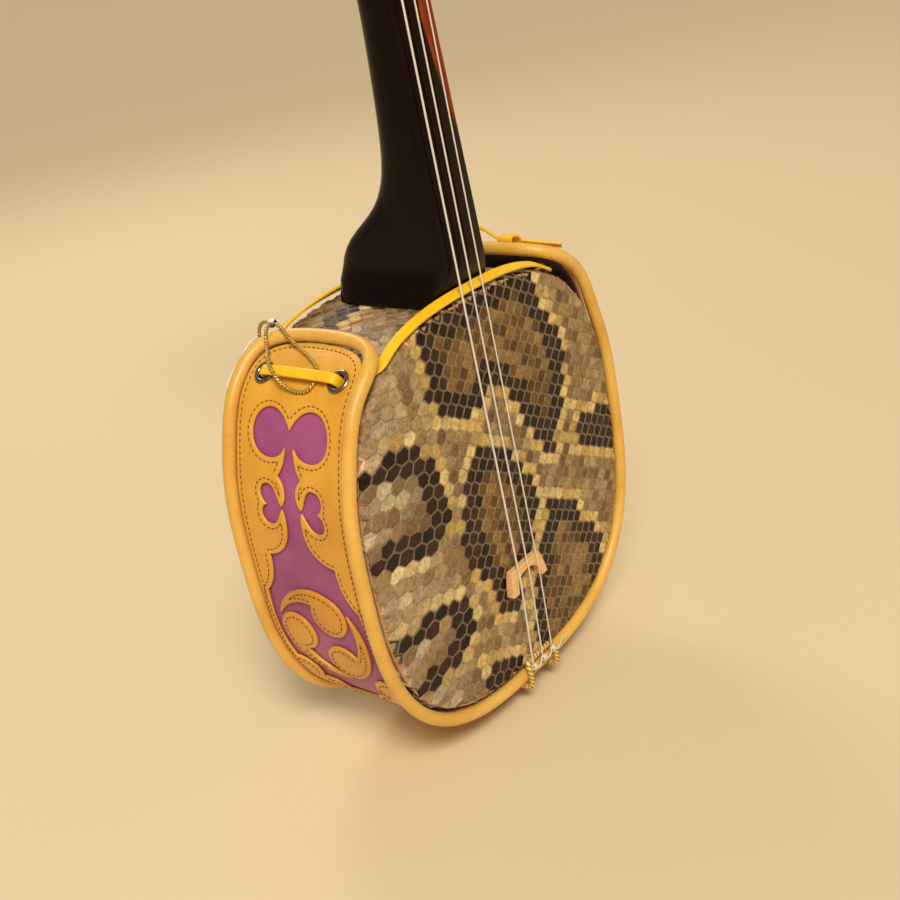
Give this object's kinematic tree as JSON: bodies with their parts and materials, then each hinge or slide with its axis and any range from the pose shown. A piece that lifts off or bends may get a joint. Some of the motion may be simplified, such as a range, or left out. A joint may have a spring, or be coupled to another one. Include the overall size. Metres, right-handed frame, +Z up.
{
  "type": "sanshin",
  "caption": "Long-neck lute with a snakeskin-covered drum, laced leather wrap, pegs that turn and a bridge that tilts up from lying flat.",
  "frame": {"origin": "centre of the flat lower end of the tail stub, under the drum", "axes": "+Z up along the neck, -Y out of the playing face, +X to the right seen from the front"},
  "size_m": [0.2076, 0.0879, 0.794],
  "materials": {
    "lacquer": "clear gloss lacquer over dark wood",
    "bone": "polished bone",
    "stave_wood": "planed, unfinished",
    "python_skin": "tanned python skin with raised scales, satin",
    "nylon": "twisted nylon, slightly glossy",
    "hanger_cord": "braided cord",
    "gold_cord": "two-ply metallic twist",
    "purple_leather": "smooth dyed leather",
    "tan_leather": "smooth dyed leather, satin",
    "rim_leather": "folded leather, satin",
    "nickel": "nickel-plated, polished",
    "yellow_leather": "smooth dyed leather strap",
    "card": "plain paper card",
    "bamboo": "planed bamboo"
  },
  "bodies": {
    "root": {"neck": "lacquer", "nut": "bone", "stave_top": "stave_wood", "stave_left": "stave_wood", "stave_bottom": "stave_wood", "stave_right": "stave_wood", "front_skin": "python_skin", "back_skin": "python_skin", "string_1": "nylon", "string_2": "nylon", "string_3": "nylon", "string_knot_1": "nylon", "string_knot_2": "nylon", "string_knot_3": "nylon", "string_hanger": "hanger_cord", "wrap_lining": "purple_leather", "wrap_face": "tan_leather", "comma_left_1": "tan_leather", "comma_left_2": "tan_leather", "comma_left_3": "tan_leather", "comma_right_1": "tan_leather", "comma_right_2": "tan_leather", "comma_right_3": "tan_leather", "front_roll": "rim_leather", "rear_roll": "rim_leather", "eyelet_1": "nickel", "eyelet_2": "nickel", "eyelet_3": "nickel", "eyelet_4": "nickel", "lace_front_run": "yellow_leather", "lace_rear_run": "yellow_leather", "lace_left": "yellow_leather", "lace_right": "yellow_leather", "lace_knot": "yellow_leather", "lace_end_front": "yellow_leather", "lace_end_rear": "yellow_leather", "tag": "card", "tag_cord": "gold_cord"},
    "peg_1": {"peg_1": "lacquer", "string_winding_1": "nylon"},
    "peg_2": {"peg_2": "lacquer", "string_winding_2": "nylon"},
    "peg_3": {"peg_3": "lacquer", "string_winding_3": "nylon"},
    "bridge": {"bridge": "bamboo"}
  },
  "joints": [
    {"name": "peg_1_turn", "type": "hinge", "parent": "root", "child": "peg_1", "pos_m": [0, -0.00464, 0.676], "axis": [-1, 0, 0], "continuous": true},
    {"name": "peg_2_turn", "type": "hinge", "parent": "root", "child": "peg_2", "pos_m": [0, -0.0011, 0.697], "axis": [1, 0, 0], "continuous": true},
    {"name": "peg_3_turn", "type": "hinge", "parent": "root", "child": "peg_3", "pos_m": [0, 0.00245, 0.718], "axis": [-1, 0, 0], "continuous": true},
    {"name": "bridge_tilt", "type": "hinge", "parent": "root", "child": "bridge", "pos_m": [0, -0.0378, 0.0655], "axis": [1, 0, 0], "range_deg": [0, 90], "deforming": ["string_1", "string_2", "string_3"]}
  ]
}
